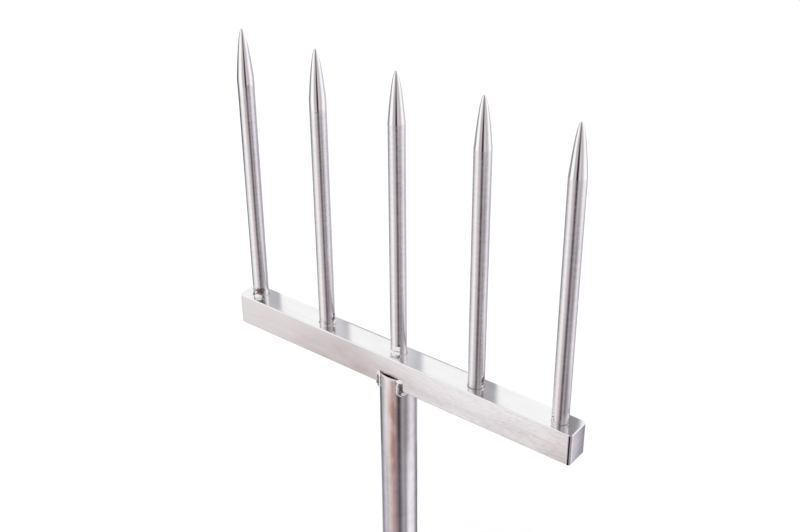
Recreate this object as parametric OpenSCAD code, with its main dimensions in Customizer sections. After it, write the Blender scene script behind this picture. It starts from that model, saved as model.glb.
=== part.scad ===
// Garden claw head: five round tines through a flat bar, on a tube that takes a handle.
// Everything is stainless steel and welded up, so nothing on it moves.
// The centre of the socket's mouth is the origin. Z runs up the socket towards the tine
// points, X runs along the bar, and -Y is the front face of the bar.

/* [Tines] */
// Diameter of the round bar that each tine is turned from
tine_d = 12; // [8:0.5:16]
// Distance from the axis of one tine to the next
tine_pitch = 68; // [40:1:100]
// Height of a tine's point above the top of the crossbar
tine_reach = 217.3; // [120:0.1:300]
// Length of the turned point
tip_len = 36.3; // [15:0.1:60]
// How far the row of tines sits behind the middle of the bar
row_setback = 0.7; // [0:0.1:2]

/* [Crossbar] */
// Depth of the bar, front to back
bar_depth = 20.5; // [18:0.5:26]
// Height of the bar
bar_height = 25; // [16:1:40]
// Bar left beyond the axis of the first tine
left_overhang = 13.4; // [9:0.1:30]
// Bar left beyond the axis of the last tine
right_overhang = 15.2; // [9:0.1:30]
// Radius of the bar's four upright corners
bar_corner_r = 3; // [1:0.5:6]
// Radius that eases the bar's long edges
bar_edge_r = 0.8; // [0.3:0.1:2]
// Gap all round a tine in its drilled hole
hole_fit = 0.1; // [0.05:0.05:0.3]

/* [Socket] */
// Outside diameter of the socket tube
tube_d = 28; // [25:0.5:40]
// Wall thickness of the socket tube
tube_wall = 1.5; // [1:0.1:3]
// Length of the socket, from its mouth to the underside of the bar
socket_len = 180; // [100:1:300]
// How far the tube's two ears reach up the faces of the bar
ear_height = 9; // [5:0.5:14]
// Gap between each ear and the face of the bar
saddle_fit = 0.1; // [0.05:0.05:0.3]
// Metal dressed off the inside of an ear at its rim, tapering to none at the bar's underside
ear_bevel = 0.5; // [0.2:0.1:0.8]
// Bevel inside the mouth that leads the handle in
mouth_bevel = 0.4; // [0.2:0.1:0.8]
// Diameter of the cross hole for the screw that holds the handle
screw_hole_d = 5; // [3:0.5:8]
// Height of that hole above the mouth
screw_hole_z = 20; // [12:1:60]

/* [Welds] */
// Radius of one puddle in the tack beside a tine
tack_r = 1.8; // [1.2:0.1:3]
// Angle from one puddle of a tack to the next, around its tine
tack_step = 18; // [12:1:30]
// Thickness of the plug weld that closes each hole from below
plug_depth = 2; // [1:0.5:4]
// Radius of one puddle in the beads that join the socket to the bar
bead_r = 2.6; // [1.8:0.1:3.2]
// Distance from one puddle of such a bead to the next
bead_pitch = 2.2; // [1.4:0.1:2.8]
// Puddles in the foot of a bead, where it turns under the bar
foot_puddles = 3; // [1:1:5]

/* [Hidden] */

$fn = 96;
// Extra depth of every cut past the face that it opens
over = 1;

// The row of tines is centred on the socket, with two tines on each side of the middle one
tine_r = tine_d / 2;
hole_r = tine_r + hole_fit;
tines_each_side = 2;
row_half = tines_each_side * tine_pitch;

// The bar lies on the ledge at the bottom of the socket's saddle
bar_bottom = socket_len;
bar_top = bar_bottom + bar_height;
bar_left = -row_half - left_overhang;
bar_len = left_overhang + 2 * row_half + right_overhang;
bar_half = bar_depth / 2;
tip_top = bar_top + tine_reach;

// The tube's outline meets the face of the bar this far each side of the socket's axis
tube_r = tube_d / 2;
bore_r = tube_r - tube_wall;
chord_half = sqrt(tube_r * tube_r - bar_half * bar_half);
corner_angle = atan2(bar_half, chord_half);

// Puddles in the upright part of a socket bead, and the arc that its foot takes for each
bead_puddles = max(2, round(ear_height / bead_pitch));
foot_step = bead_pitch / tube_r * 180 / PI;
// The foot hangs this far below the bar, where it fills the corner with the tube
foot_drop = 0.3;
foot_r = 0.8 * bead_r;

// Straight facets that stand in for the curve of a turned point
tip_facets = 18;
// Side of the tine that carries its main tack, counted from +X; a second one is opposite
tack_angles = [-32, 2, -108, -16, -136];
// Puddles in a main tack, and in the smaller one opposite
main_tack = 4;
rear_tack = 3;
// The middle of each puddle lies just outside the tine and just above the bar
tack_out = 0.2;
tack_rise = 0.2;

steel = [0.84, 0.83, 0.84];
polished = [0.90, 0.90, 0.92];
weld_metal = [0.70, 0.67, 0.66];

// Rectangle with round corners, from the origin to size
module round_rectangle(size, r) {
    translate([r, 0]) square([size.x - 2 * r, size.y]);
    translate([0, r]) square([size.x, size.y - 2 * r]);
    for (x = [r, size.x - r], y = [r, size.y - r]) translate([x, y]) circle(r);
}

function tine_x(i) = (i - 1 - tines_each_side) * tine_pitch;

// Radius of the turned point at a share of its length from the tip: a parabola
function tip_radius(share) = tine_r * sqrt(share);

// Solid bar with eased edges, before it is drilled
module bar_stock() {
    translate([bar_left, -bar_half, bar_bottom]) intersection() {
        linear_extrude(bar_height) round_rectangle([bar_len, bar_depth], bar_corner_r);
        translate([0, bar_depth, 0]) rotate([90, 0, 0])
            linear_extrude(bar_depth) round_rectangle([bar_len, bar_height], bar_edge_r);
        rotate([90, 0, 90])
            linear_extrude(bar_len) round_rectangle([bar_depth, bar_height], bar_edge_r);
    }
}

module crossbar() {
    color(steel) difference() {
        bar_stock();
        for (i = [1 : 2 * tines_each_side + 1])
            translate([tine_x(i), row_setback, bar_bottom - over])
                cylinder(r = hole_r, h = bar_height + 2 * over);
    }
}

// Round bar through its hole in the crossbar, turned to a blunt-nosed point
module tine(i) {
    foot = bar_bottom + plug_depth;
    shares = [for (k = [0 : tip_facets]) pow(1 - k / tip_facets, 2)];
    color(polished) translate([tine_x(i), row_setback, 0])
        rotate_extrude() polygon(concat(
            [[0, foot], [tine_r, foot]],
            [for (share = shares) [tip_radius(share), tip_top - tip_len * share]]));
}

// Tube with a saddle cut across its top, whose two ears clasp the faces of the bar
module socket_tube() {
    saddle_half = bar_half + saddle_fit;
    color(steel) difference() {
        cylinder(r = tube_r, h = socket_len + ear_height);
        translate([0, 0, -over]) cylinder(r = bore_r, h = socket_len + ear_height + 2 * over);
        translate([-tube_d, -saddle_half, bar_bottom])
            cube([2 * tube_d, 2 * saddle_half, ear_height + over]);
        translate([0, 0, bar_bottom])
            cylinder(r1 = bore_r, r2 = bore_r + ear_bevel, h = ear_height);
        translate([0, 0, -over])
            cylinder(r1 = bore_r + mouth_bevel + over, r2 = bore_r, h = mouth_bevel + over);
        translate([0, 0, screw_hole_z]) rotate([90, 0, 0])
            cylinder(d = screw_hole_d, h = tube_d + 2 * over, center = true);
    }
}

// Row of overlapping puddles round a tine's foot, centred on an angle
module tack(angle, puddles) {
    for (k = [0 : puddles - 1])
        rotate(angle + 180 + (k - (puddles - 1) / 2) * tack_step)
            translate([-tine_r - tack_out, 0, tack_rise]) sphere(tack_r);
}

// Two tacks in the corner between a tine and the top of the bar
module tine_weld(i) {
    color(weld_metal) translate([tine_x(i), row_setback, bar_top]) difference() {
        union() {
            tack(tack_angles[i - 1], main_tack);
            tack(tack_angles[i - 1] + 180, rear_tack);
        }
        translate([0, 0, -tack_r - over]) cylinder(r = tine_r, h = 2 * (tack_r + over));
        translate([0, 0, -tack_r - over])
            cylinder(r = tine_r + 2 * tack_r, h = tack_r + over);
    }
}

// Weld that fills the bottom of a drilled hole, dressed flush with the bar
module plug_weld(i) {
    color(weld_metal) translate([tine_x(i), row_setback, bar_bottom])
        cylinder(r = hole_r, h = plug_depth);
}

// Bead up one upright edge of an ear, with a foot that turns under the bar.
// side_x is 1 on the right and -1 on the left, side_y is 1 at the back and -1 at the front.
module socket_weld(side_x, side_y) {
    mirror_turn = side_x > 0 ? 180 : 0;
    color(weld_metal) difference() {
        union() {
            for (k = [0 : bead_puddles])
                translate([side_x * chord_half, side_y * bar_half,
                    bar_bottom + k * ear_height / bead_puddles])
                    rotate(mirror_turn) sphere(bead_r);
            for (k = [1 : foot_puddles])
                rotate(side_y * (90 - side_x * (90 - corner_angle + k * foot_step)) + 180)
                    translate([-tube_r, 0, bar_bottom - foot_drop]) sphere(foot_r);
        }
        translate([0, 0, bar_bottom - 2 * bead_r]) cylinder(r = tube_r, h = ear_height + 4 * bead_r);
        translate([-tube_d, -bar_half, bar_bottom]) cube([2 * tube_d, bar_depth, bar_height]);
    }
}

crossbar();
tine(1);  // tine_1
tine(2);  // tine_2
tine(3);  // tine_3
tine(4);  // tine_4
tine(5);  // tine_5
socket_tube();
tine_weld(1);  // tine_weld_1
tine_weld(2);  // tine_weld_2
tine_weld(3);  // tine_weld_3
tine_weld(4);  // tine_weld_4
tine_weld(5);  // tine_weld_5
plug_weld(1);  // plug_weld_1
plug_weld(2);  // plug_weld_2
plug_weld(3);  // plug_weld_3
plug_weld(4);  // plug_weld_4
plug_weld(5);  // plug_weld_5
socket_weld(-1, -1);  // socket_weld_front_left
socket_weld(1, -1);  // socket_weld_front_right
socket_weld(-1, 1);  // socket_weld_back_left
socket_weld(1, 1);  // socket_weld_back_right
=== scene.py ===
"""Finishes for a garden claw head of stainless steel, in a plain white studio."""
import math

import bpy
from mathutils import Euler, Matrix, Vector, noise


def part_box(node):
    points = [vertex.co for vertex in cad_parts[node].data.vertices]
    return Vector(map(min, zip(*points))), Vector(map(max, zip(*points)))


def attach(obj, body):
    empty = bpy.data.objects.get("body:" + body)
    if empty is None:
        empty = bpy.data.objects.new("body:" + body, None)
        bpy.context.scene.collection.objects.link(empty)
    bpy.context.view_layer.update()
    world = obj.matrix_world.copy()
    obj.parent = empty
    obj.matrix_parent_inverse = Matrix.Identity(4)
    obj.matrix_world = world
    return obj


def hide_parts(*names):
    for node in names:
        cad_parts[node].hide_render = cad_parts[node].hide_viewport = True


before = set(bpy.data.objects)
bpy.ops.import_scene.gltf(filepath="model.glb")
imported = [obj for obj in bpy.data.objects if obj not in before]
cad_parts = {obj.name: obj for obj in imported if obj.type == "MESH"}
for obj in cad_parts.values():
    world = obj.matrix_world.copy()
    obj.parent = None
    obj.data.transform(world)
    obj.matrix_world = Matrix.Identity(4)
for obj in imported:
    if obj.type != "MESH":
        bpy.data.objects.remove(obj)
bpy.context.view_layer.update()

MM = 0.001
BAR_LOW, BAR_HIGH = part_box("crossbar")
TUBE_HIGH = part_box("socket_tube")[1]
BAR_TOP = BAR_HIGH.z
TUBE_R = TUBE_HIGH.x
TINE_R = (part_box("tine_3")[1].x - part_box("tine_3")[0].x) / 2

# Where the camera stands, seen from above: its angle from the bar's front, and its place
CAMERA_AZIMUTH = 37.613
CAMERA_GROUND = Vector((453.1, -585.1, 0)) * MM

# Each turned point is a parabola of this length
TIP_LEN = 36.3 * MM
# Points round a tine, and rings in its shank and in its turned point
TINE_SEGMENTS, SHANK_RINGS, TIP_RINGS = 96, 90, 48
# Share of its radius at which a point ends in a blunt nose
NOSE = 0.008

# How each point was finished: where its polish ends below the tip, the length over which it fades, the
# swell of the shoulder, and the depth of the line scribed where the polish ends, in mm
POINT_FINISH = {
    1: dict(polish=45.5, fade=9.0, swell=0.12, scribe=0.0),
    2: dict(polish=43.5, fade=0.3, swell=0.0, scribe=0.08),
    3: dict(polish=36.1, fade=0.3, swell=0.0, scribe=0.02),
    4: dict(polish=35.9, fade=0.3, swell=0.0, scribe=0.02),
    5: dict(polish=35.8, fade=0.3, swell=0.0, scribe=0.02),
}
# How far below the shoulder its swell is widest, and how far the swell reaches from there
SWELL_DROP, SWELL_REACH = 4 * MM, 5 * MM
# Half the height of a scribed line, and the rings that it takes, from its middle in mm
SCRIBE_HALF = 0.2 * MM
SCRIBE_RINGS = (-0.3, -0.15, 0, 0.15, 0.3)
# How far a tine leans to the right at its tip, in mm
TINE_LEAN = {1: 0.5}
# How far a shank's surface wanders, the scale of that across the tine and along it, and how far apart
# in its noise the tines lie
WOBBLE, WOBBLE_ACROSS, WOBBLE_ALONG, NOISE_STEP = 0.012 * MM, 120, 55, 7
# Heights above the bar between which that sets in, and the length below the tip over which it ends
WOBBLE_FROM, WOBBLE_FULL, WOBBLE_END = 10 * MM, 30 * MM, 30 * MM

# Dark marks on the tines: tine, degrees from the side that faces the camera, height above the bar and
# radius in mm, and depth. Most are burns and stains beside the welds, and a few near the points; those
# at 46 to 60 degrees on the second and fourth tines are painted shade in the creases of their welds, and
# those at -78 and -80 degrees darken the left edges of the third to fifth tines' feet
DARK_MARKS_AND_CREASE_SHADE = [
    (1, -30, 6.3, 1.8, 0.86), (1, -27, 3.8, 1.4, 0.84), (1, -10, 6.0, 1.8, 0.86),
    (1, 12, 6.1, 1.9, 0.80), (1, -22, 4.6, 1.8, 0.82), (1, -2, 4.2, 1.4, 0.75),
    (1, 14, 3.4, 1.2, 0.65), (2, 60, 7.6, 1.8, 0.8), (2, 52, 5.0, 1.9, 0.88),
    (2, 46, 3.2, 1.3, 0.8), (3, 2, 9.0, 0.9, 0.8), (4, 54, 7.6, 1.5, 0.9),
    (4, 53, 5.6, 1.7, 0.95), (4, 55, 3.4, 1.4, 0.9), (5, -49, 8.2, 0.9, 0.45),
    (5, -48, 6.2, 0.7, 0.45), (5, -47, 3.8, 0.9, 0.45), (5, -45, 1.8, 0.6, 0.4),
    (2, -2, 172.8, 0.75, 0.9), (2, -9, 173.2, 0.45, 0.5), (3, 9, 173, 0.5, 0.35),
    (3, 6, 166, 0.9, 0.45), (3, 12, 163, 0.7, 0.35), (5, 64, 2.6, 1.5, 0.7),
    (3, -78, 8.5, 1.4, 0.40), (3, -78, 5.5, 1.4, 0.45), (3, -78, 2.5, 1.4, 0.45),
    (4, -78, 6.5, 1.4, 0.35), (4, -78, 3.5, 1.4, 0.35), (5, -80, 8.0, 1.6, 0.40),
    (5, -80, 4.0, 1.6, 0.45),
]
# The weld round each tine as overlapping domes: degrees from the side that faces the camera, height
# above the bar, half width, half height, and how far it stands out, in mm
REAR_DOMES = [(168, 0.9, 2.6, 2.4, 0.9), (196, 1.4, 2.2, 2.8, 0.8), (140, 0.6, 1.8, 1.5, 0.6)]
TINE_DOMES = {
    1: [(-27, 0.2, 3.6, 2.3, 1.4)],
    2: [(62, 0.4, 2.2, 2.5, 1.1)],
    3: [(-62, 3.6, 1.4, 3.4, 0.5)],
    4: [(-72, 0.2, 1.6, 0.9, 0.3)],
    5: [(-60, 4.6, 0.9, 4.6, 0.40)],
}
# Flat faces on the third tine's weld: angle and half width in degrees, height of the foot and the
# top, distance of the face from the tine's axis, and how far it leans in at its top, in mm
TINE_FACETS = {3: [(-29, 37, 1.3, 4.2, 6.75, 0.10), (-19, 27, 4.4, 8.3, 6.45, 0.35)]}
# Sooty spots on those welds: angle, height, radius and depth
WELD_SPOTS = {
    1: [(14, 1.2, 1.5, 0.8)],
    2: [(42, 3.0, 1.0, 0.6)],
    3: [(-62, 5.6, 0.8, 0.7)],
    4: [(62, 2.2, 0.8, 0.6)],
    5: [(-62, 7.6, 0.7, 0.9), (-58, 5.4, 0.6, 0.9), (-62, 2.6, 0.8, 0.9)],
}
# The corner between each tine and the bar: how far its fused metal reaches out and up, in mm
TINE_CORNERS = {1: (0.6, 0.9), 2: (0.45, 0.8), 3: (0.45, 0.8), 4: (0.22, 0.9), 5: (0.22, 0.9)}
# The dark line where a weld's foot meets the bar: the angles where it starts and ends, and its depth
TINE_RINGS = {
    1: (30, 100, 0.5), 2: (20, 100, 0.6), 3: (20, 100, 0.5), 4: (-100, 95, 0.95), 5: (-8, 95, 0.95),
}


def ease(low, high, value):
    """0 at low, 1 at high, and a smooth change between them, whichever of the two is larger."""
    share = min(1.0, max(0.0, (value - low) / (high - low)))
    return share * share * (3 - 2 * share)


def way_at(angle):
    """Level unit vector at an angle from +X, in radians."""
    return Vector((math.cos(angle), math.sin(angle), 0))


def tine_axis(number):
    low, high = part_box(f"tine_{number}")
    return Vector(((low.x + high.x) / 2, (low.y + high.y) / 2, 0))


def tine_facing(number):
    """Angle of the side of a tine that faces the camera, in radians from +X."""
    way = CAMERA_GROUND - tine_axis(number)
    return math.atan2(way.y, way.x)


def tine_point(number, turn, height):
    """A point on a tine, by degrees from the side that faces the camera and mm above the bar."""
    angle = tine_facing(number) + math.radians(turn)
    return tine_axis(number) + way_at(angle) * TINE_R + Vector((0, 0, BAR_TOP + height * MM))


def add_object(name, data):
    made = bpy.data.objects.new(name, data)
    bpy.context.scene.collection.objects.link(made)
    return made


def mesh_object(name, points, faces, material):
    mesh = bpy.data.meshes.new(name)
    mesh.from_pydata(points, [], faces)
    mesh.materials.append(material)
    return add_object(name, mesh)


def new_piece(name, points, faces, material):
    """A smooth mesh object at the origin that rides on the head's one body."""
    piece = mesh_object(name, points, faces, material)
    piece.data.validate()
    piece.data.polygons.foreach_set("use_smooth", [True] * len(piece.data.polygons))
    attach(piece, "root")
    return piece


def mark(piece, name, values):
    """Stores a value for each point of a piece, such as how sooty it is."""
    piece.data.attributes.new(name, "FLOAT", "POINT").data.foreach_set("value", values)


def lathe(profile, centre, segments, wobble):
    """A turned solid through (radius, height) pairs. wobble(point) is added to the radius there."""
    points = [Vector((centre.x, centre.y, profile[0][1]))]
    faces = []
    for radius, height in profile:
        for k in range(segments):
            way = way_at(2 * math.pi * k / segments)
            r = radius + wobble(centre + way * radius + Vector((0, 0, height)))
            points.append(Vector((centre.x, centre.y, height)) + way * r)
    points.append(Vector((centre.x, centre.y, profile[-1][1])))
    last = len(points) - 1
    for k in range(segments):
        after = (k + 1) % segments
        faces.append((0, 1 + after, 1 + k))
        for ring in range(len(profile) - 1):
            a = 1 + ring * segments
            b = a + segments
            faces.append((a + k, a + after, b + after, b + k))
        a = 1 + (len(profile) - 1) * segments
        faces.append((last, a + k, a + after))
    return points, faces


def sweep(name, rings, material):
    """A closed solid through rings that all have the same number of points."""
    count = len(rings[0])
    points = [p for ring in rings for p in ring]
    faces = [tuple(range(count))[::-1], tuple(range((len(rings) - 1) * count, len(rings) * count))]
    for ring in range(len(rings) - 1):
        for k in range(count):
            after = (k + 1) % count
            a = ring * count
            faces.append((a + k, a + after, a + count + after, a + count + k))
    return new_piece(name, points, faces, material)


def add(tree, kind, inputs=None, **settings):
    """A new shader node with its settings, and its sockets filled with values or links."""
    made = tree.nodes.new("ShaderNode" + kind)
    for name, value in settings.items():
        setattr(made, name, value)
    for name, value in (inputs or {}).items():
        if isinstance(value, bpy.types.NodeSocket):
            tree.links.new(value, made.inputs[name])
        else:
            made.inputs[name].default_value = value
    return made


def new_material(name):
    material = bpy.data.materials.new(name)
    material.use_nodes = True
    material.node_tree.nodes.clear()
    return material, material.node_tree


def stretched(tree, scale, detail=3.0, offset=(0, 0, 0), turn=0.0):
    """Noise whose grain is 1 / scale metres long in each direction, turned about Y by an angle."""
    where = add(tree, "TexCoord").outputs["Object"]
    if turn:
        rotation = (0, math.radians(turn), 0)
        where = add(tree, "Mapping", {"Vector": where, "Rotation": rotation}).outputs[0]
    mapped = add(tree, "Mapping", {"Vector": where, "Scale": scale, "Location": offset})
    settings = {"Vector": mapped.outputs[0], "Scale": 1.0, "Detail": detail}
    return add(tree, "TexNoise", settings).outputs["Fac"]


def spread(tree, value, low, high, to_low=0.0, to_high=1.0):
    """Takes a value from between low and high to between to_low and to_high, smoothly."""
    return add(tree, "MapRange", {
        "Value": value, "From Min": low, "From Max": high, "To Min": to_low, "To Max": to_high,
    }, interpolation_type="SMOOTHSTEP").outputs[0]


def maths(tree, operation, first, second):
    return add(tree, "Math", {0: first, 1: second}, operation=operation).outputs[0]


def product(tree, first, second):
    return maths(tree, "MULTIPLY", first, second)


def mixed(tree, factor, first, second):
    return add(tree, "Mix", {0: factor, 6: first, 7: second}, data_type="RGBA").outputs[2]


def place_of(tree, kind="Object"):
    """X, Y and Z on a piece in metres, or with "UV" the shares of the way across a card and up it."""
    return add(tree, "SeparateXYZ", {"Vector": add(tree, "TexCoord").outputs[kind]}).outputs


def colour_ramp(tree, value, stops):
    """The colour at a value on a ramp through stops of (position, red, green, blue)."""
    ramp = add(tree, "ValToRGB", {"Fac": value})
    points = ramp.color_ramp.elements
    for k, (where, *colour) in enumerate(stops):
        point = points[k] if k < 1 else points.new(where)
        point.position = where
        point.color = (*colour, 1)
    points.remove(points[len(points) - 1])
    return ramp.outputs["Color"]


POLISHED = (0.965, 0.96, 0.965, 1)
POLISHED_ROUGHNESS = 0.035
FROSTED = (0.99, 0.98, 0.98, 1)
# How much of a frosted surface scatters light instead of mirroring it, and how much of it turns pale
FROST_SHARE, FROST_PALE = 0.9, 0.85
# Shares of brush lines and broad patches in the mottling, and the levels that it runs between
LINE_SHARE, PATCH_SHARE = 0.45, 0.55
MOTTLE_LOW, MOTTLE_HIGH = 0.35, 0.65
PATCH_OFFSET = (3.1, 1.7, 0.4)
# Height of the patches next to the lines' height, and how much of the relief a mirror polish keeps
PATCH_HEIGHT, POLISHED_RELIEF = 1.2, 0.08


def steel(name, pale, dark, roughness, grain, relief, mottle, tint, tint_roughness=0.0,
          anisotropy=0.0, tangent=None, polish=None, frost=None):
    """Brushed or polished stainless steel.

    pale and dark are the two colours that its mottling runs between, and roughness is the same pair.
    grain is the noise scale of the brush lines in each direction, mottle that of the patches, and
    relief is the lines' height in metres. tint(tree) gives the share and colour of what lies over the
    metal, such as heat tint, burns, soot and painted shade, and tint_roughness is the least roughness
    where it is full. polish names an attribute that is 1 where the metal is mirror bright, and frost one
    that is 1 where it is matt and white.
    """
    material, tree = new_material(name)
    lines = stretched(tree, grain, 4.0)
    patches = stretched(tree, mottle, 2.0, PATCH_OFFSET)
    blend = maths(tree, "ADD", product(tree, lines, LINE_SHARE), product(tree, patches, PATCH_SHARE))
    pale_share = spread(tree, blend, MOTTLE_LOW, MOTTLE_HIGH)
    colour = mixed(tree, pale_share, (*dark, 1), (*pale, 1))
    rough = spread(tree, blend, MOTTLE_LOW, MOTTLE_HIGH, *roughness)
    height = maths(tree, "ADD", lines, product(tree, patches, PATCH_HEIGHT))
    if polish:
        shine = add(tree, "Attribute", attribute_name=polish).outputs["Fac"]
        dull = maths(tree, "SUBTRACT", 1.0, shine)
        rough = maths(tree, "ADD", product(tree, rough, dull), product(tree, shine, POLISHED_ROUGHNESS))
        height = product(tree, height, maths(tree, "MAXIMUM", dull, POLISHED_RELIEF))
        colour = mixed(tree, shine, colour, POLISHED)
    share, overlay_colour = tint(tree)
    colour = mixed(tree, share, colour, overlay_colour)
    if tint_roughness:
        rough = maths(tree, "MAXIMUM", rough, product(tree, share, tint_roughness))
    if frost:
        matt = add(tree, "Attribute", attribute_name=frost).outputs["Fac"]
        colour = mixed(tree, product(tree, matt, FROST_PALE), colour, FROSTED)
    bump = add(tree, "Bump", {"Height": height, "Distance": relief, "Strength": 1.0})
    shader = add(tree, "BsdfPrincipled", {
        "Metallic": 1.0, "Anisotropic": anisotropy, "Base Color": colour, "Roughness": rough,
        "Normal": bump.outputs[0],
    })
    if frost:
        bare = maths(tree, "SUBTRACT", 1.0, product(tree, matt, FROST_SHARE))
        tree.links.new(bare, shader.inputs["Metallic"])
    if tangent:
        way = add(tree, "CombineXYZ", {"X": tangent[0], "Y": tangent[1], "Z": tangent[2]})
        tree.links.new(way.outputs[0], shader.inputs["Tangent"])
    out = add(tree, "OutputMaterial")
    tree.links.new(shader.outputs[0], out.inputs["Surface"])
    return material


# How far above the bar the tines' heat tint reaches, and its two colours
FOOT_TINT_REACH = 9 * MM
STRAW, BROWN = (0.62, 0.47, 0.36, 1), (0.20, 0.13, 0.11, 1)
# Painted shade up the right side of the tines' feet, a grey for the shade that they reflect there: its
# side, as an angle from +X, the cosines of the angles from there where it ends and is full, its depth and
# its colour
FOOT_SHADE_ANGLE = math.radians(-25)
FOOT_SHADE_END, FOOT_SHADE_FULL, FOOT_SHADE = 0.93, 0.985, 0.6
FOOT_SHADE_GREY = (0.42, 0.39, 0.40, 1)
# Heights above the bar between which that painted shade clears
FOOT_SHADE_FROM, FOOT_SHADE_TO = 15 * MM, 65 * MM
# The colour of the dark marks, of the burns and of the painted crease shade alike
MARK_AND_SHADE_DARK = (0.095, 0.054, 0.058, 1)
# How far inwards a mark's edge wanders, and how far outside its radius it is full and ends, in mm
RAGGED_LOW, RAGGED_HIGH = 0.1 * MM, 1.7 * MM
MARK_FULL, MARK_END = 0.4, 1.3


def foot_tint_and_shade(tree):
    """Straw and brown tint at a tine's foot, painted shade up its right side, and dark burns and marks.
    """
    near = spread(tree, place_of(tree)["Z"], BAR_TOP, BAR_TOP + FOOT_TINT_REACH, 1.0, 0.0)
    cloud = stretched(tree, (220, 220, 160))
    share = product(tree, near, spread(tree, cloud, 0.45, 0.62, 0.0, 0.5))
    overlay_colour = mixed(tree, spread(tree, cloud, 0.5, 0.7), STRAW, BROWN)
    place = add(tree, "TexCoord").outputs["Object"]
    normal = add(tree, "TexCoord").outputs["Normal"]
    # Painted shade: a grey laid up the right side of each foot, for the shade that it reflects there
    way = way_at(FOOT_SHADE_ANGLE)
    right = add(tree, "VectorMath", {0: normal, 1: way}, operation="DOT_PRODUCT").outputs["Value"]
    side = spread(tree, right, FOOT_SHADE_END, FOOT_SHADE_FULL, 0.0, FOOT_SHADE)
    upper = spread(tree, place_of(tree)["Z"], BAR_TOP + FOOT_SHADE_FROM, BAR_TOP + FOOT_SHADE_TO, 1.0, 0.0)
    side = product(tree, side, upper)
    overlay_colour = mixed(tree, spread(tree, side, 0.0, 0.1), overlay_colour, FOOT_SHADE_GREY)
    share = maths(tree, "MAXIMUM", share, side)
    ragged = spread(tree, stretched(tree, (560, 560, 560)), 0.25, 0.75, RAGGED_LOW, RAGGED_HIGH)
    # Burns, stains and painted crease shade, each a dark spot with a ragged edge
    for number, turn, height, radius, depth in DARK_MARKS_AND_CREASE_SHADE:
        middle = tine_point(number, turn, height)
        away = add(tree, "VectorMath", {0: place, 1: middle}, operation="DISTANCE").outputs["Value"]
        reach = maths(tree, "ADD", away, ragged)
        spot = spread(tree, reach, (radius + MARK_FULL) * MM, (radius + MARK_END) * MM, depth, 0.0)
        overlay_colour = mixed(tree, spot, overlay_colour, MARK_AND_SHADE_DARK)
        share = maths(tree, "MAXIMUM", share, spot)
    return share, overlay_colour


# The socket's copper-brown band: its angle from +X in degrees, and the height of its middle
TINT_ANGLE, TINT_HEIGHT = -73, 0.165
# Share to which heights shrink in distances from its middle, which makes the band long
BAND_SHRINK = 0.055
# Distances where the band is full and where it ends, and its depth
BAND_FULL, BAND_END, BAND_DEPTH = 1.0 * MM, 6.5 * MM, 0.9
COPPER_PALE, COPPER_DARK = (0.74, 0.55, 0.48, 1), (0.56, 0.36, 0.29, 1)
# How far below the bar the haze on the tube reaches, and its depth
TUBE_HAZE_REACH, TUBE_HAZE = 26 * MM, 0.4
# Depths below the ear's rim between which the tint clears
RIM_TINTED, RIM_CLEAR = 1.5 * MM, 0.2 * MM


def ear_tint(tree):
    """Copper-brown heat tint down the socket from its front welds, and a faint haze all round."""
    place = add(tree, "TexCoord").outputs["Object"]
    height = place_of(tree)["Z"]
    cloud = stretched(tree, (150, 150, 40), 3.0, (0.7, 0.2, 0))
    turn = math.radians(TINT_ANGLE)
    middle = (math.cos(turn) * TUBE_R, math.sin(turn) * TUBE_R, TINT_HEIGHT * BAND_SHRINK)
    flat = add(tree, "Mapping", {"Vector": place, "Scale": (1, 1, BAND_SHRINK)}).outputs[0]
    away = add(tree, "VectorMath", {0: flat, 1: middle}, operation="DISTANCE").outputs["Value"]
    band = spread(tree, away, BAND_FULL, BAND_END, BAND_DEPTH, 0.0)
    band = product(tree, band, spread(tree, cloud, 0.30, 0.60, 0.45, 1.0))
    near = spread(tree, height, BAR_LOW.z - TUBE_HAZE_REACH, BAR_LOW.z, 0.0, TUBE_HAZE)
    haze = product(tree, near, spread(tree, cloud, 0.48, 0.68, 0.0, 0.6))
    share = maths(tree, "MAXIMUM", band, haze)
    rim = spread(tree, height, TUBE_HIGH.z - RIM_TINTED, TUBE_HIGH.z - RIM_CLEAR, 1.0, 0.1)
    overlay_colour = mixed(tree, spread(tree, cloud, 0.40, 0.65), COPPER_PALE, COPPER_DARK)
    return product(tree, share, rim), overlay_colour


# Colour of the bar's sides along its length, painted shade that is darkest left of the socket: X in mm,
# then red, green and blue
BAR_SIDE_SHADE = [
    (-149, 0.84, 0.80, 0.80), (-122, 0.78, 0.73, 0.73), (-98, 0.74, 0.68, 0.68),
    (-77, 0.65, 0.58, 0.58), (-54, 0.565, 0.495, 0.49), (-31, 0.525, 0.445, 0.445),
    (-9, 0.595, 0.525, 0.525), (14, 0.63, 0.58, 0.58), (36, 0.745, 0.695, 0.705),
    (59, 0.78, 0.755, 0.765), (105, 0.80, 0.785, 0.80), (127, 0.86, 0.845, 0.85),
    (147.5, 0.84, 0.81, 0.83), (150.3, 0.95, 0.94, 0.95),
]
# How far below the bar's top the painted shade on its sides is full, and where it ends
SIDE_SHADE_FULL, SIDE_SHADE_END = 1.2 * MM, 0.3 * MM
# Worn marks and pale clouds on the bar's sides: their colours and depths
WORN_GREY, WORN_DEPTH = (0.52, 0.48, 0.49, 1), 0.5
CLOUD_WHITE, CLOUD_DEPTH = (0.93, 0.93, 0.94, 1), 0.22
# Places along X between which the darker low patches and the scratches grow
RIGHT_FROM, RIGHT_TO = -80 * MM, 130 * MM
# Darker patches low on the sides, towards the bottom: heights above the underside where they end and
# are full, and their depths at two places along X
LOW_GREY = (0.62, 0.605, 0.61, 1)
LOW_END, LOW_FULL = 14 * MM, 3 * MM
LOW_DEPTHS = (60 * MM, 130 * MM, 0.28, 0.60)
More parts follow.
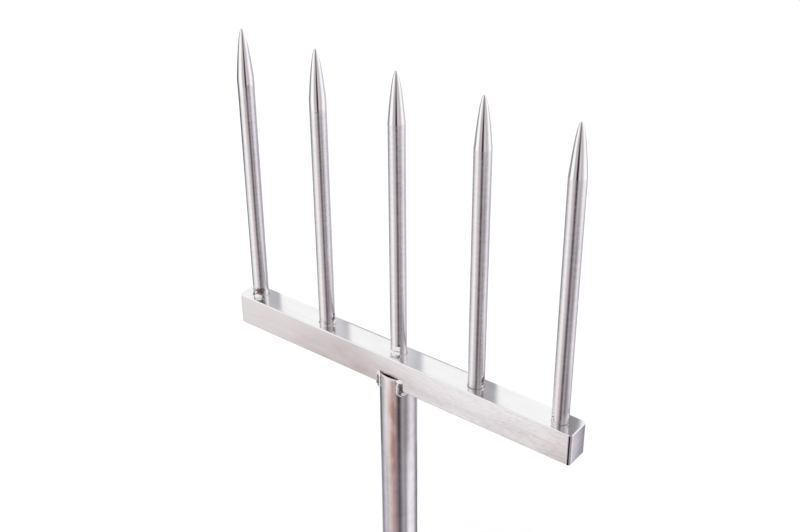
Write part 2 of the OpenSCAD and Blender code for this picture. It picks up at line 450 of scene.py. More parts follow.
# Painted sheen that makes the upper half of the sides paler: where it starts above the underside and is
# full below the top, and its depths at two places along X
UPPER_SHEEN = (0.86, 0.855, 0.86, 1)
HIGH_START, HIGH_FULL = 8 * MM, 1 * MM
HIGH_DEPTHS = (-30 * MM, 12 * MM, 0.34, 0.56)
# Fine scratches on the bar's sides, dark and bright: offset of their pattern, depth and tone, and how
# many degrees they slant
SCRATCHES = [(0.31, 0.26, 0.50), (0.77, 0.36, 0.97)]
SCRATCH_TURN = 12
# A painted highlight beside the bar's right front corner, and a painted dark reflection down the corner
# itself: X, half its width where it is full and where it ends, in mm, its depth and its tone
CORNER_HIGHLIGHT_AND_SHADE = [(148.5, 0.25, 0.65, 0.8, 0.98), (149.6, 0.35, 0.62, 0.92, 0.035)]


def bar_sides_shade_and_wear(tree):
    """Painted shade makes the bar's sides darker than its top, most of all near the socket; also wear."""
    place = place_of(tree)
    # Painted shade covers the sides only; the top keeps the steel's own colour
    side = spread(tree, place["Z"], BAR_TOP - SIDE_SHADE_FULL, BAR_TOP - SIDE_SHADE_END, 1.0, 0.0)
    ends = {"Value": place["X"], "From Min": BAR_LOW.x, "From Max": BAR_HIGH.x}
    along = add(tree, "MapRange", ends).outputs[0]
    stops = [((x * MM - BAR_LOW.x) / (BAR_HIGH.x - BAR_LOW.x), *colour) for x, *colour in BAR_SIDE_SHADE]
    overlay_colour = colour_ramp(tree, along, stops)
    cloud = spread(tree, stretched(tree, (28, 60, 90), 4.0, (0.2, 0, 0.6)), 0.36, 0.66)
    streak = spread(tree, stretched(tree, (15, 60, 150), 4.0, (0.9, 0, 0.1)), 0.42, 0.72)
    worn = product(tree, cloud, streak)
    overlay_colour = mixed(tree, product(tree, worn, WORN_DEPTH), overlay_colour, WORN_GREY)
    overlay_colour = mixed(tree, product(tree, cloud, CLOUD_DEPTH), overlay_colour, CLOUD_WHITE)
    right = spread(tree, place["X"], RIGHT_FROM, RIGHT_TO)
    low = spread(tree, place["Z"], BAR_LOW.z + LOW_END, BAR_LOW.z + LOW_FULL)
    patchy = spread(tree, stretched(tree, (22, 60, 40), 2.0, (0.4, 0, 0.3)), 0.4, 0.6, 0.3, 1.0)
    low = product(tree, product(tree, low, patchy), right)
    low = product(tree, low, spread(tree, place["X"], *LOW_DEPTHS))
    overlay_colour = mixed(tree, low, overlay_colour, LOW_GREY)
    # Painted sheen, paler towards the top of the sides
    high = spread(tree, place["Z"], BAR_LOW.z + HIGH_START, BAR_TOP - HIGH_FULL)
    high = product(tree, high, spread(tree, place["X"], *HIGH_DEPTHS))
    overlay_colour = mixed(tree, high, overlay_colour, UPPER_SHEEN)
    for offset, depth, tone in SCRATCHES:
        fine = stretched(tree, (150, 80, 640), 4.0, (offset, 0, offset), SCRATCH_TURN)
        fine = product(tree, spread(tree, fine, 0.47, 0.66, 0.0, depth), right)
        overlay_colour = mixed(tree, fine, overlay_colour, (tone, tone * 0.98, tone * 0.99, 1))
    # Painted highlight and painted dark reflection at the right front corner
    for where, full, end, depth, tone in CORNER_HIGHLIGHT_AND_SHADE:
        away = maths(tree, "ABSOLUTE", maths(tree, "SUBTRACT", place["X"], where * MM), 0.0)
        line = spread(tree, away, full * MM, end * MM, depth, 0.0)
        overlay_colour = mixed(tree, line, overlay_colour, (tone, tone, tone * 1.02, 1))
    return side, overlay_colour


SOOT = (0.075, 0.058, 0.056, 1)


def weld_tint(tree):
    """Soot in the hollows of a weld, and patches of heat tint."""
    cloud = spread(tree, stretched(tree, (380, 380, 380), 4.0, (0.3, 0.9, 0)), 0.54, 0.72, 0.0, 0.35)
    soot = add(tree, "Attribute", attribute_name="soot").outputs["Fac"]
    return maths(tree, "MAXIMUM", cloud, soot), SOOT


BAR_STEEL = steel(
    "bar_steel", (0.93, 0.925, 0.93), (0.88, 0.87, 0.88), (0.14, 0.22), (14, 500, 500), 4e-6,
    mottle=(35, 90, 90), tint=bar_sides_shade_and_wear, anisotropy=0.4, tangent=(1, 0, 0))
TINE_STEEL = steel(
    "tine_steel", (0.93, 0.92, 0.93), (0.86, 0.84, 0.86), (0.17, 0.26), (420, 420, 14), 1.4e-5,
    mottle=(160, 160, 380), tint=foot_tint_and_shade, tint_roughness=0.45, polish="polish")
TUBE_STEEL = steel(
    "tube_steel", (0.87, 0.86, 0.88), (0.76, 0.74, 0.76), (0.10, 0.17), (420, 420, 9), 1.6e-5,
    mottle=(120, 120, 100), tint=ear_tint)
WELD_STEEL = steel(
    "weld_steel", (0.95, 0.94, 0.94), (0.84, 0.81, 0.80), (0.10, 0.20), (900, 900, 900), 1.2e-5,
    mottle=(300, 300, 300), tint=weld_tint, tint_roughness=0.7, frost="frost")


# Tines


def tine_profile(foot, tip, radius, finish):
    """Radius and height of a tine, from its foot to its tip."""
    shoulder = tip - TIP_LEN
    swell_middle = shoulder - SWELL_DROP
    line = tip - finish["polish"] * MM

    def bulge(height):
        return finish["swell"] * MM * math.exp(-((height - swell_middle) / SWELL_REACH) ** 2)

    heights = [foot + (shoulder - foot) * k / SHANK_RINGS for k in range(SHANK_RINGS)]
    heights += [line + step * MM for step in SCRIBE_RINGS]
    profile = []
    for height in sorted(heights):
        groove = finish["scribe"] * MM * max(0.0, 1 - abs(height - line) / SCRIBE_HALF)
        profile.append((radius + bulge(height) - groove, height))
    for k in range(TIP_RINGS):
        share = 1 - k / TIP_RINGS
        height = tip - TIP_LEN * share * share
        profile.append((radius * share + bulge(height), height))
    profile.append((radius * NOSE, tip))
    return [p for k, p in enumerate(profile) if k == 0 or p[1] > profile[k - 1][1]]


def make_tine(number):
    """A tine with its turned and polished point, and the slight unevenness of its shank."""
    node = f"tine_{number}"
    low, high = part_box(node)
    finish = POINT_FINISH[number]

    def wobble(point):
        share = ease(BAR_TOP + WOBBLE_FROM, BAR_TOP + WOBBLE_FULL, point.z)
        share *= ease(0, WOBBLE_END, high.z - point.z)
        place = Vector((point.x * WOBBLE_ACROSS, point.y * WOBBLE_ACROSS,
                        point.z * WOBBLE_ALONG + number * NOISE_STEP))
        return WOBBLE * share * noise.noise(place)

    profile = tine_profile(low.z, high.z, (high.x - low.x) / 2, finish)
    points, faces = lathe(profile, tine_axis(number), TINE_SEGMENTS, wobble)
    lean = TINE_LEAN.get(number, 0) * MM
    for point in points:
        point.x += lean * max(0.0, (point.z - BAR_TOP) / (high.z - BAR_TOP))
    piece = new_piece(f"tine_{number}_turned", points, faces, TINE_STEEL)
    edge = high.z - finish["polish"] * MM
    fade = finish["fade"] * MM
    mark(piece, "polish", [ease(edge - fade / 2, edge + fade / 2, p.z) for p in points])
    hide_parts(node)


# Tine welds

# A weld's shell: points round it, rows up it, its height, and how its rows crowd at the foot
SHELL_COLUMNS, SHELL_ROWS, SHELL_REACH, SHELL_CROWD = 150, 34, 10 * MM, 1.4
# How far it lies under its tine's surface where it doesn't show, how far its inner side does, and how
# rough it is
HIDDEN_SHELL, SHELL_INSIDE, SHELL_ROUGH = 0.06 * MM, 0.3 * MM, 0.03 * MM
# Share of a dome over which its frost sets in, and the soot round its edge where it is this thin
DOME_FROST, EDGE_THIN, EDGE_SOOT = 0.15, 0.16 * MM, 0.15
# Arc round a tine for each radian, in mm, how steeply a flat face ends, and the soot along its edge
ARC_MM, FACET_STEEP, FACET_SOOT = 6, 3, 0.4
# The dark line at a weld's foot: degrees over which it fades, softness of its upper edge, its height
# towards the camera, and what that gains at the sides, in mm
RING_FADE, RING_SOFT, RING_HEIGHT, RING_GAIN = 8, 0.15 * MM, 0.55, 1.1
# How far inside and outside its radius a sooty spot fades, in mm
SPOT_SOFT = 0.3


def swing_from(angle, turn, facing):
    """Radians from a feature to a point, round a tine. angle is the feature's, in degrees."""
    return math.remainder(turn - facing - math.radians(angle), 2 * math.pi)


def dome_at(number, turn, facing, height):
    """How far the domes stand out at a point of a weld, how frosted they are and how sooty."""
    out = -HIDDEN_SHELL
    bright = 0.0
    for angle, middle, half_width, half_height, stand in TINE_DOMES[number] + REAR_DOMES:
        across = swing_from(angle, turn, facing) * TINE_R / (half_width * MM)
        up = (height - middle * MM) / (half_height * MM)
        share = 1 - across ** 2 - up ** 2
        if share > 0:
            out = max(out, stand * MM * math.sqrt(share))
            bright = max(bright, ease(0.0, DOME_FROST, share))
    return out, bright, EDGE_SOOT * (0 < out < EDGE_THIN)


def ring_soot(number, from_camera, height, rough):
    """Depth of the dark line at a weld's foot."""
    start, end, depth = TINE_RINGS[number]
    ring = ease(start - RING_FADE, start + RING_FADE, from_camera)
    ring *= ease(end + RING_FADE, end - RING_FADE, from_camera)
    thick = (RING_HEIGHT + RING_GAIN * min(1.0, abs(from_camera) / 90) ** 3) * MM
    ring *= ease(thick + RING_SOFT, thick - RING_SOFT, height) * (0.85 + 0.3 * rough)
    ring *= 0.7 + 0.3 * min(1.0, abs(from_camera) / 60)
    return depth * ring


def shell_at(number, turn, facing, height, rough):
    """How far a weld's shell stands out at a point, and how sooty and how frosted it is there."""
    out, bright, dark = dome_at(number, turn, facing, height)
    flat = False
    for angle, half, low, high, away, lean in TINE_FACETS.get(number, []):
        swing = swing_from(angle, turn, facing)
        inside = min((math.radians(half) - abs(swing)) * ARC_MM, height / MM - low, high - height / MM)
        if inside > 0:
            face = (away - lean * (height / MM - low) / (high - low)) * MM / math.cos(swing) - TINE_R
            out = max(out, min(face, inside * FACET_STEEP * MM))
            flat = True
            bright = ease(0.1, 0.3, inside)
            dark = FACET_SOOT * ease(0.2, 0.05, inside)
    corner_out, corner_up = TINE_CORNERS[number]
    narrowing = max(0.0, 1 - height / (corner_up * MM)) ** 2
    fillet = (corner_out * MM + HIDDEN_SHELL) * narrowing - HIDDEN_SHELL
    for angle, middle, radius, depth in WELD_SPOTS[number]:
        away = math.hypot(swing_from(angle, turn, facing) * TINE_R, height - middle * MM) + rough * MM
        spot = ease((radius + SPOT_SOFT) * MM, (radius - SPOT_SOFT) * MM, away)
        dark = max(dark, depth * spot)
    from_camera = math.degrees(swing_from(0, turn, facing))
    soot = min(1.0, max(dark, ring_soot(number, from_camera, height, rough)))
    out = max(out, fillet) + (SHELL_ROUGH * rough if out > 0 and not flat else 0)
    return out, soot, bright * (1 - soot)


def make_tine_weld(number):
    """A thin shell of fused metal round a tine's foot, thickest at its domes."""
    facing = tine_facing(number)
    centre = tine_axis(number)
    points, soot, frost = [], [], []
    for row in range(SHELL_ROWS + 1):
        height = SHELL_REACH * (row / SHELL_ROWS) ** SHELL_CROWD
        for column in range(SHELL_COLUMNS):
            turn = 2 * math.pi * column / SHELL_COLUMNS
            way = way_at(turn)
            place = centre + way * TINE_R + Vector((0, 0, height))
            rough = noise.noise(place * 700) * 0.5 + noise.noise(place * 1500) * 0.3
            out, sooty, frosted = shell_at(number, turn, facing, height, rough)
            soot.append(sooty)
            frost.append(frosted)
            points.append(centre + way * (TINE_R + out) + Vector((0, 0, BAR_TOP + height)))
    inner = len(points)
    for height in (0, SHELL_REACH):
        for column in range(SHELL_COLUMNS):
            way = way_at(2 * math.pi * column / SHELL_COLUMNS)
            points.append(centre + way * (TINE_R - SHELL_INSIDE) + Vector((0, 0, BAR_TOP + height)))
            soot.append(0)
            frost.append(0)
    faces = []
    last = SHELL_ROWS * SHELL_COLUMNS
    upper = inner + SHELL_COLUMNS
    for column in range(SHELL_COLUMNS):
        after = (column + 1) % SHELL_COLUMNS
        for row in range(SHELL_ROWS):
            a = row * SHELL_COLUMNS
            b = a + SHELL_COLUMNS
            faces.append((a + column, a + after, b + after, b + column))
        faces.append((last + column, last + after, upper + after, upper + column))
        faces.append((upper + column, upper + after, inner + after, inner + column))
        faces.append((inner + column, inner + after, after, column))
    piece = new_piece(f"tine_weld_{number}_fused", points, faces, WELD_STEEL)
    mark(piece, "soot", soot)
    mark(piece, "frost", frost)
    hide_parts(f"tine_weld_{number}")


# Socket beads

# A bead in steps down its path: how far along, in mm from the top of the ear, and its width on the
# tube and on the bar
BEAD_STEPS = [
    (-1.5, 0.6, 0.5), (-1.2, 2.0, 1.6), (-0.3, 3.2, 2.6), (0.9, 3.1, 2.7), (1.7, 2.5, 2.2),
    (3.0, 2.9, 2.4), (5.0, 3.1, 2.5), (7.0, 2.9, 2.4), (8.4, 3.0, 2.4), (9.6, 3.4, 2.6),
    (12.0, 3.2, 2.5), (14.5, 2.2, 1.8), (16.5, 0.4, 0.4),
]
RIPPLE_PITCH = 1.5
# Rings along a bead, and steps across its outside
BEAD_RINGS, BEAD_ARC = 110, 14
# Where along its path, in mm, a bead turns from its first nugget to its body and on to its foot
BODY_FROM, BODY_FULL = 1.2, 2.6
FOOT_FROM, FOOT_FULL = 8.6, 10.2
# Length before and after the bar's underside over which the bead bends
BEAD_BEND = 0.8 * MM
# How far a bead's two borders dip, and how far its back lies, under the surfaces that it joins
BORDER_DIP, BEAD_BACK = 0.15 * MM, 0.3 * MM
# Scale of the noise on a bead along its path and across it
BEAD_NOISE, BEAD_NOISE_ACROSS = 650, 3


def bead_width(along):
    for (start, *first), (end, *second) in zip(BEAD_STEPS, BEAD_STEPS[1:]):
        if along <= end:
            share = max(0.0, (along - start) / (end - start))
            return [a + (b - a) * share for a, b in zip(first, second)]
    return list(BEAD_STEPS[-1][1:])


def bump_at(share, middle, width):
    """1 at the middle, falling away on both sides of it."""
    return math.exp(-((share - middle) / width) ** 2)


def bead_shape(along, share):
    """How thick a bead is, at a share of the way from the tube to the bar: a ridge and a hollow."""
    body = ease(BODY_FROM, BODY_FULL, along)
    foot = ease(FOOT_FROM, FOOT_FULL, along)
    ridge = 0.10 + 0.30 * body * (1 - foot)
    hollow = 0.42 * body * (1 - foot) + 0.22 * foot
    return 1 + ridge * bump_at(share, 0.24, 0.15) - hollow * bump_at(share, 0.64, 0.20)


def bead_looks(along, share, ripple, seed):
    """How sooty and how frosted a bead is: soot in its hollow, frost on its ridge and its nugget."""
    foot = ease(FOOT_FROM, FOOT_FULL, along)
    hollow = ease(0.36, 0.50, share) * ease(1.02, 0.96, share) * ease(1.4, 2.2, along)
    speckle = ease(0.1, 0.45, noise.noise(seed * 1.6))
    soot = hollow * (0.80 + 0.20 * (1 - ripple)) * (1 - 0.45 * speckle) * (1 - foot)
    ridge = bump_at(share, 0.22, 0.13) * ease(14.0, 12.0, along)
    nugget = ease(1.7, 0.9, along)
    return soot, max(ridge, nugget, 0.5 * foot * ripple) * (1 - soot)


def make_socket_weld(side_x, side_y):
    """A rippled bead down one edge of an ear, turned under the bar at its foot."""
    bar_half = BAR_HIGH.y
    corner = math.atan2(bar_half, math.sqrt(TUBE_R ** 2 - bar_half ** 2))
    ear = TUBE_HIGH.z - BAR_LOW.z
    first, last = BEAD_STEPS[0][0], BEAD_STEPS[-1][0]
    rings, soot, frost = [], [], []
    for step in range(BEAD_RINGS + 1):
        along = first + (last - first) * step / BEAD_RINGS
        foot = max(0.0, along * MM - ear)
        turn = max(0.0, corner - foot / TUBE_R)
        way = way_at(turn)
        height = max(BAR_LOW.z, TUBE_HIGH.z - along * MM)
        spot = Vector((math.cos(turn) * TUBE_R, math.sin(turn) * TUBE_R, height))
        bend = ease(-BEAD_BEND, BEAD_BEND, along * MM - ear)
        on_tube = Vector((-math.sin(turn), math.cos(turn), 0)).lerp(Vector((0, 0, -1)), bend).normalized()
        on_bar = Vector((1, 0, 0)).lerp(way, bend).normalized()
        width_tube, width_bar = bead_width(along)
        ripple = abs(math.sin(math.pi * along / RIPPLE_PITCH))
        ring = []
        for k in range(BEAD_ARC + 1):
            t = k / BEAD_ARC
            seed = Vector((spot.x * side_x, spot.y * side_y, spot.z)) * BEAD_NOISE
            seed += Vector((t * BEAD_NOISE_ACROSS, 0, 0))
            shape = bead_shape(along, t)
            shape *= 0.90 + 0.14 * ripple + 0.16 * noise.noise(seed)
            dip = BORDER_DIP * (abs(2 * t - 1) ** 6)
            out_tube = on_tube * (width_tube * math.cos(math.pi * t / 2))
            out_bar = on_bar * (width_bar * math.sin(math.pi * t / 2))
            ring.append(spot + (out_tube + out_bar) * MM * shape - (on_tube + on_bar) * dip)
            sooty, frosted = bead_looks(along, t, ripple, seed)
            soot.append(sooty)
            frost.append(frosted)
        ring.append(spot - (on_tube + on_bar) * BEAD_BACK)
        soot.append(0)
        frost.append(0)
        rings.append([Vector((p.x * side_x, p.y * side_y, p.z)) for p in ring])
    if side_x * side_y < 0:
        rings = [ring[::-1] for ring in rings]
        count = BEAD_ARC + 2
        order = [r * count + k for r in range(BEAD_RINGS + 1) for k in reversed(range(count))]
        soot, frost = [soot[k] for k in order], [frost[k] for k in order]
    ends = f"{'back' if side_y > 0 else 'front'}_{'right' if side_x > 0 else 'left'}"
    piece = sweep(f"socket_bead_{ends}", rings, WELD_STEEL)
    mark(piece, "soot", soot)
    mark(piece, "frost", frost)
    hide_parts(f"socket_weld_{ends}")


# Ear lips

# Section of the lip on top of an ear: share of the way from its outside to its inside, and height
# from the ear's top, in mm
LIP_SECTION = [
    (0.26, -0.05), (0.30, 0.16), (0.42, 0.36), (0.60, 0.46), (0.78, 0.38), (0.92, 0.12),
    (1.0, -0.35), (0.96, -1.0), (0.45, -0.7),
]
# Steps along a lip, and the degrees where it starts and that it runs through, from +X
LIP_STEPS, LIP_START, LIP_SWEEP = 60, 48, 84
# How far its outside stands proud of the tube, the least distance of its inner side from the tube's
# surface, and its unevenness in mm
LIP_PROUD, LIP_LEAST, LIP_UNEVEN = 0.02 * MM, 0.5 * MM, 0.10
LIP_FROST = 0.5
# The slit between the lip and the bar: its width at its ends, what it gains towards its middle, half
# its length, and how far to the left its middle is
SLIT_END, SLIT_GAIN, SLIT_HALF, SLIT_SHIFT = 0.15 * MM, 1.05 * MM, 8.6 * MM, 0.7 * MM
# Rounds in which the place of the lip's inner side is found
SLIT_ROUNDS = 12


def lip_inside(turn):
    """Distance of the lip's inner side from the socket's axis."""
    reach = BAR_HIGH.y
    for _ in range(SLIT_ROUNDS):
        share = min(1.0, abs(reach * math.cos(turn) + SLIT_SHIFT) / SLIT_HALF)
        reach = (BAR_HIGH.y + SLIT_END + SLIT_GAIN * (1 - share * share)) / math.sin(turn)
    return min(reach, TUBE_R - LIP_LEAST)


def make_lip(side_y):
    """The lip of an ear, pressed towards the bar, from one bead to the other."""
    rings = []
    for step in range(LIP_STEPS + 1):
        turn = math.radians(LIP_START + LIP_SWEEP * step / LIP_STEPS)
        way = Vector((math.cos(turn), side_y * math.sin(turn), 0))
        uneven = LIP_UNEVEN * noise.noise(Vector((step * 0.21, side_y * 5, 0)))
        outside, inside = TUBE_R + LIP_PROUD, lip_inside(turn)
        ring = []
        for share, height in LIP_SECTION:
            top = TUBE_HIGH.z + (height + uneven * (height > -1)) * MM
            ring.append(way * (outside + (inside - outside) * share) + Vector((0, 0, top)))
        rings.append(ring if side_y > 0 else ring[::-1])
    piece = sweep(f"ear_lip_{'back' if side_y > 0 else 'front'}", rings, WELD_STEEL)
    mark(piece, "frost", [LIP_FROST] * len(piece.data.vertices))


for number in POINT_FINISH:
    make_tine(number)
    make_tine_weld(number)
for side_y in (-1, 1):
    make_lip(side_y)
    for side_x in (-1, 1):
        make_socket_weld(side_x, side_y)

for node, material in (("crossbar", BAR_STEEL), ("socket_tube", TUBE_STEEL)):
    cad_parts[node].data.materials[0] = material
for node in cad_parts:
    if "weld" in node:
        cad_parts[node].data.materials[0] = WELD_STEEL


# Studio


def reflected_mesh(name, points, faces, material, uv):
    """A piece of the studio that only reflections show."""
    piece = mesh_object(name, points, faces, material)
    layer = piece.data.uv_layers.new(name="place")
    for loop in piece.data.loops:
        layer.data[loop.index].uv = uv[loop.vertex_index]
    piece.visible_camera = False
    piece.visible_diffuse = False
    piece.visible_transmission = False
    piece.visible_volume_scatter = False
    piece.visible_shadow = False


# The four corners of a card and its one face
CARD_UV = [(0, 0), (1, 0), (1, 1), (0, 1)]
CARD_FACE = [(0, 1, 2, 3)]

# From above, the surround is as far away as the camera, so that every tine shows its dark part on the
# camera's side down the middle
WALL_R = 0.74
WALL_HALF = 165
WALL_COLUMNS, WALL_ROWS = 110, 8

# Linear tones of the surround in percent, by the angle from the camera's side, for the turned points
POINT_TONES = [
    (-165, 50, 50, 54), (-140, 8, 8, 11), (-122, 9, 9, 12), (-106, 46, 46, 48), (-94, 92, 92, 92),
    (-84, 100, 100, 98), (-62, 100, 100, 98), (-52, 74, 70, 70), (-40, 44, 40, 40), (-28, 60, 52, 54),
    (-20, 52, 43, 45), (-13, 12, 9, 11), (-5, 3, 2, 4), (4, 3, 2, 4), (9, 30, 28, 31), (15, 62, 58, 62),
    (26, 66, 61, 62), (38, 48, 44, 43), (52, 62, 58, 57), (64, 94, 91, 92), (82, 100, 99, 100),
    (102, 98, 95, 100), (122, 66, 63, 70), (138, 36, 34, 41), (165, 50, 50, 54),
]
# The same for the shanks
SHANK_TONES = [
    (-165, 22, 22, 25), (-138, 16, 15, 19), (-126, 30, 29, 31), (-116, 50, 49, 50), (-106, 66, 65, 66),
    (-90, 88, 86, 87), (-76, 100, 98, 99), (-60, 100, 98, 98), (-50, 78, 73, 74), (-35, 62, 55, 57),
    (-24, 60, 54, 56), (-14, 33, 29, 31), (-6, 13, 11, 12), (0, 5, 4, 5), (6, 13, 12, 13),
    (14, 32, 29, 31), (24, 43, 39, 41), (38, 29, 26, 28), (48, 32, 29, 32), (60, 57, 53, 57),
    (74, 88, 83, 90), (88, 88, 83, 92), (100, 74, 70, 78), (110, 60, 57, 64), (124, 40, 39, 44),
    (138, 36, 35, 41), (165, 50, 49, 54),
]
# The same for the socket
SOCKET_TONES = [
    (-165, 70, 70, 74), (-146, 50, 49, 54), (-130, 23, 22, 26), (-118, 44, 42, 46), (-103, 66, 62, 68),
    (-82, 64, 58, 60), (-66, 74, 66, 65), (-56, 72, 60, 57), (-43, 56, 41, 39), (-31, 46, 32, 31),
    (-20, 36, 25, 26), (-8, 21, 17, 20), (0, 10, 9, 11), (8, 19, 18, 20), (15, 34, 32, 35),
    (25, 42, 39, 43), (40, 36, 34, 37), (50, 68, 66, 70), (60, 100, 96, 100), (88, 98, 95, 100),
    (110, 66, 64, 70), (126, 27, 25, 31), (138, 9, 8, 12), (165, 3, 3, 5),
]
# The same for the tips of the points
TIP_TONES = [
    (-165, 50, 50, 54), (-140, 20, 20, 23), (-122, 24, 24, 27), (-106, 62, 62, 64), (-94, 94, 94, 94),
    (-84, 100, 100, 98), (-60, 100, 100, 98), (-50, 86, 83, 83), (-40, 72, 68, 68), (-28, 56, 50, 51),
    (-20, 40, 36, 38), (-13, 22, 20, 22), (-5, 14, 13, 15), (4, 13, 12, 14), (9, 27, 25, 28),
    (15, 42, 40, 43), (26, 56, 52, 54), (38, 54, 50, 50), (50, 70, 66, 66), (62, 92, 89, 90),
    (82, 100, 99, 100), (102, 96, 93, 98), (122, 62, 60, 66), (138, 34, 32, 38), (165, 50, 50, 54),
]
# Heights between which the socket's tones give way to the shanks', and so on up to the tips'
SHANK_FROM = (-0.50, -0.43)
POINT_FROM = (0.030, 0.045)
TIP_FROM = (0.25, 0.36)
WALL_LOW = -1.5
# The surround is high near the camera and low behind the head, and changes between these angles
WALL_FRONT, WALL_BACK = 2.4, 0.32
FRONT_END, FRONT_FULL = 75, 35
# Behind the head and to its left it is higher, where the left edges of the tines' feet see it in the
# bar's top: its height there, and the angles where that part begins, is full, and ends again
WALL_LEFT = 0.80
LEFT_FROM, LEFT_FULL, LEFT_UNTIL, LEFT_END = -156, -148, -110, -98


def glowing(material, tree, colour, share):
    """Makes a material glow in a colour where share is 1 and clear where it is 0."""
    material.cycles.emission_sampling = "NONE"
    tone = add(tree, "Emission", {"Color": colour, "Strength": 1.0})
    clear = add(tree, "BsdfTransparent")
    mix = add(tree, "MixShader", {0: share, 1: clear.outputs[0], 2: tone.outputs[0]})
    tree.links.new(mix.outputs[0], add(tree, "OutputMaterial").inputs["Surface"])
    return material


def surround_material():
    material, tree = new_material("surround")
    place = place_of(tree, "UV")
    tones = []
    for tone_stops in (SOCKET_TONES, SHANK_TONES, POINT_TONES, TIP_TONES):
        stops = [((angle + WALL_HALF) / (2 * WALL_HALF), red / 100, green / 100, blue / 100)
                 for angle, red, green, blue in tone_stops]
        tones.append(colour_ramp(tree, place["X"], stops))
    height = place_of(tree)["Z"]
    colour = tones[0]
    for (low, high), upper in zip((SHANK_FROM, POINT_FROM, TIP_FROM), tones[1:]):
        colour = mixed(tree, spread(tree, height, low, high), colour, upper)
    return glowing(material, tree, colour, spread(tree, place["Y"], 0.95, 1.0, 1.0, 0.0))


def surround():
    """The room that the steel reflects: a curved wall round the head, open behind it."""
    points, uv, faces = [], [], []
    for column in range(WALL_COLUMNS + 1):
        share = column / WALL_COLUMNS
        angle = WALL_HALF * (2 * share - 1)
        turn = math.radians(CAMERA_AZIMUTH + angle)
        front = ease(FRONT_END, FRONT_FULL, abs(angle))
        left = ease(LEFT_FROM, LEFT_FULL, angle) * ease(LEFT_END, LEFT_UNTIL, angle)
        top = max(WALL_BACK + (WALL_FRONT - WALL_BACK) * front,
                  WALL_BACK + (WALL_LEFT - WALL_BACK) * left)
        for row in range(WALL_ROWS + 1):
            points.append((WALL_R * math.sin(turn), -WALL_R * math.cos(turn),
                           WALL_LOW + (top - WALL_LOW) * row / WALL_ROWS))
            uv.append((share, row / WALL_ROWS))
    for column in range(WALL_COLUMNS):
        for row in range(WALL_ROWS):
            a = column * (WALL_ROWS + 1) + row
            faces.append((a, a + WALL_ROWS + 1, a + WALL_ROWS + 2, a + 1))
    reflected_mesh("surround", points, faces, surround_material(), uv)


def shade_material(name, near, far, solid_to, clear_from, top_soft):
    """A tone that runs from near to far across a card, and clears towards its right side and its top."""
    material, tree = new_material(name)
    place = place_of(tree, "UV")
    colour = mixed(tree, spread(tree, place["X"], 0.0, 1.0), (*near, 1), (*far, 1))
    side = spread(tree, place["X"], solid_to, clear_from, 1.0, 0.0)
    top = spread(tree, place["Y"], 1 - top_soft, 1.0, 1.0, 0.0)
    return glowing(material, tree, colour, product(tree, side, top))


def shade_card(name, left, right, low, high, material, gap):
    """An upright card close behind the bar, like a soft shadow on a board that the head lies on."""
    y = BAR_HIGH.y + gap
    points = [(left, y, low), (right, y, low), (right, y, high), (left, y, high)]
    reflected_mesh(name, points, CARD_FACE, material, CARD_UV)


BOARD_GAP = 4 * MM
END_SHADE = shade_material("end_shade", (0.24, 0.235, 0.27), (0.42, 0.41, 0.45), 0.05, 0.46, 0.02)
BACK_SHADE = shade_material("back_shade", (0.30, 0.30, 0.35), (0.34, 0.34, 0.39), 0.99, 1.0, 0.25)
EDGE_SHADE = shade_material("edge_shade", (0.24, 0.24, 0.27), (0.40, 0.39, 0.43), 0.97, 1.0, 0.01)
# The shade behind each tine: how far it reaches to its right in mm, its tone next to the tine, and its
# tone at its border
TINE_SHADES = {
    1: (10.3, 0.55, 0.48), 2: (13.4, 0.74, 0.53), 3: (14.7, 0.73, 0.52), 4: (11.8, 0.43, 0.42),
    5: (11.3, 0.25, 0.33),
}
# How far it reaches to the tine's left, and down from the bar's top and from the tip
SHADE_LEFT, SHADE_DOWN = 9 * MM, 6 * MM

surround()
for number, (reach, near, far) in TINE_SHADES.items():
    near_tone, far_tone = (near, near * 0.97, near * 1.04), (far, far * 0.97, far * 1.05)
    tone = shade_material(f"tine_shade_{number}", near_tone, far_tone, 0.71, 1.0, 0.1)
    low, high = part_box(f"tine_{number}")
    x = (low.x + high.x) / 2
    shade_card(f"shade_{number}", x - SHADE_LEFT, x + reach * MM, BAR_TOP - SHADE_DOWN,
               high.z - SHADE_DOWN, tone, BOARD_GAP)
shade_card("end_shade", BAR_HIGH.x + 0.5 * MM, BAR_HIGH.x + 26 * MM, BAR_LOW.z - 25 * MM, BAR_TOP,
           END_SHADE, BOARD_GAP - 0.2 * MM)
shade_card("back_shade", BAR_LOW.x, BAR_HIGH.x + 0.4 * MM, BAR_LOW.z, BAR_TOP + 2.5 * MM,
           BACK_SHADE, BOARD_GAP + 0.2 * MM)
shade_card("edge_shade", -74 * MM, 72 * MM, BAR_LOW.z, BAR_TOP + 4.9 * MM,
           EDGE_SHADE, BOARD_GAP + 0.3 * MM)

# A pale card just left of the bar keeps its rounded left corner bright
CORNER_X, CORNER_FRONT, CORNER_BACK = BAR_LOW.x - 30 * MM, -26 * MM, 20 * MM
CORNER_LOW, CORNER_HIGH = BAR_LOW.z - 30 * MM, BAR_LOW.z + 8 * MM
CORNER_TONE = (0.80, 0.775, 0.785)
corner_material = shade_material("corner_tone", CORNER_TONE, CORNER_TONE, 0.99, 1.0, 0.01)
reflected_mesh("corner_card", [
    (CORNER_X, CORNER_FRONT, CORNER_LOW), (CORNER_X, CORNER_BACK, CORNER_LOW),
    (CORNER_X, CORNER_BACK, CORNER_HIGH), (CORNER_X, CORNER_FRONT, CORNER_HIGH),
], CARD_FACE, corner_material, CARD_UV)


def seen_rays(tree):
    """1 for the rays that show something to the camera, and 0 for those that only light it."""
    rays = add(tree, "LightPath").outputs
    seen = maths(tree, "ADD", rays["Is Camera Ray"], rays["Is Glossy Ray"])
    return maths(tree, "ADD", seen, rays["Is Transmission Ray"])


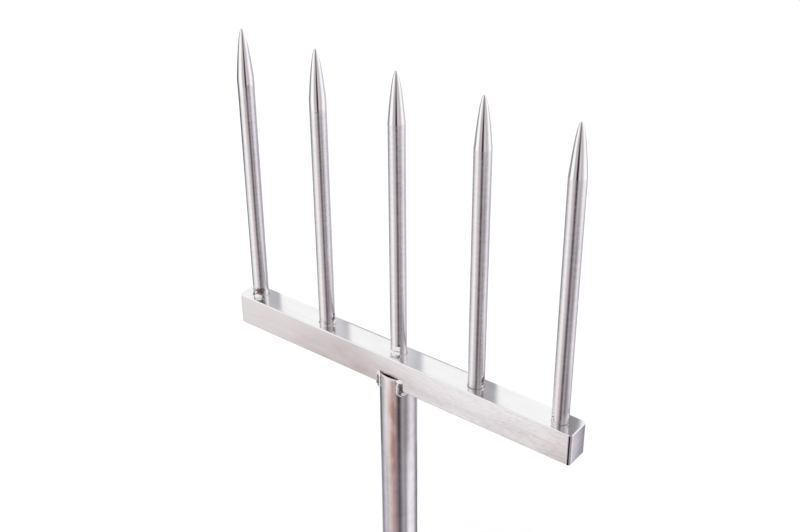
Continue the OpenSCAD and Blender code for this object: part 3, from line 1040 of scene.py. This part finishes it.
# What the floor glows with where it is seen, and how strong the sky is where it only lights
FLOOR_LIFT, SKY_LIGHT = 0.2, 0.9
FLOOR_HALF = 30.0

floor_material, tree = new_material("pale_floor")
lift = product(tree, seen_rays(tree), FLOOR_LIFT)
matt = add(tree, "BsdfDiffuse", {"Color": (0.9, 0.9, 0.9, 1)})
glow = add(tree, "Emission", {"Color": (1, 1, 1, 1), "Strength": lift})
both = add(tree, "AddShader", {0: matt.outputs[0], 1: glow.outputs[0]})
tree.links.new(both.outputs[0], add(tree, "OutputMaterial").inputs["Surface"])
floor_material.cycles.emission_sampling = "NONE"
floor_corners = [(x * FLOOR_HALF, y * FLOOR_HALF, 0) for x, y in ((-1, -1), (1, -1), (1, 1), (-1, 1))]
floor = mesh_object("floor", floor_corners, CARD_FACE, floor_material)
floor.visible_glossy = False

world = bpy.data.worlds.new("studio")
bpy.context.scene.world = world
world.use_nodes = True
world.cycles.sampling_method = "NONE"
tree = world.node_tree
tree.nodes.clear()
level = spread(tree, seen_rays(tree), 0.0, 1.0, SKY_LIGHT, 1.0)
sky = add(tree, "Background", {"Color": (1, 1, 1, 1), "Strength": level})
tree.links.new(sky.outputs[0], add(tree, "OutputWorld").inputs["Surface"])

key = bpy.data.lights.new("key", "AREA")
key.shape = "DISK"
key.size = 1.2
key.energy = 6.0
key_lamp = add_object("key", key)
key_lamp.location = (-1.3, -1.0, 2.2)
key_lamp.rotation_mode = "QUATERNION"
key_lamp.rotation_quaternion = (Vector((0, 0, BAR_TOP)) - key_lamp.location).to_track_quat("-Z", "Y")
key_lamp.visible_glossy = False

bpy.context.scene.view_settings.view_transform = "Standard"


# Camera

CAMERA_ELEVATION = 30.312
CAMERA_ROLL = -0.515
CAMERA_DISTANCE = 0.90505
CAMERA_AIM = Vector((-23.73, 33.82, 253.51)) * MM

camera_data = bpy.data.cameras.new("camera")
camera_data.lens = 55.288
camera_data.sensor_width = 36.0
camera_data.clip_start = 0.01
camera_data.clip_end = 200.0
camera = add_object("camera", camera_data)
azimuth, elevation = math.radians(CAMERA_AZIMUTH), math.radians(CAMERA_ELEVATION)
back = Vector((math.sin(azimuth) * math.cos(elevation), -math.cos(azimuth) * math.cos(elevation),
               math.sin(elevation)))
camera.location = CAMERA_AIM + back * CAMERA_DISTANCE
camera.rotation_mode = "QUATERNION"
level_turn = (-back).to_track_quat("-Z", "Y")
camera.rotation_quaternion = level_turn @ Euler((0, 0, math.radians(CAMERA_ROLL))).to_quaternion()
bpy.context.scene.camera = camera
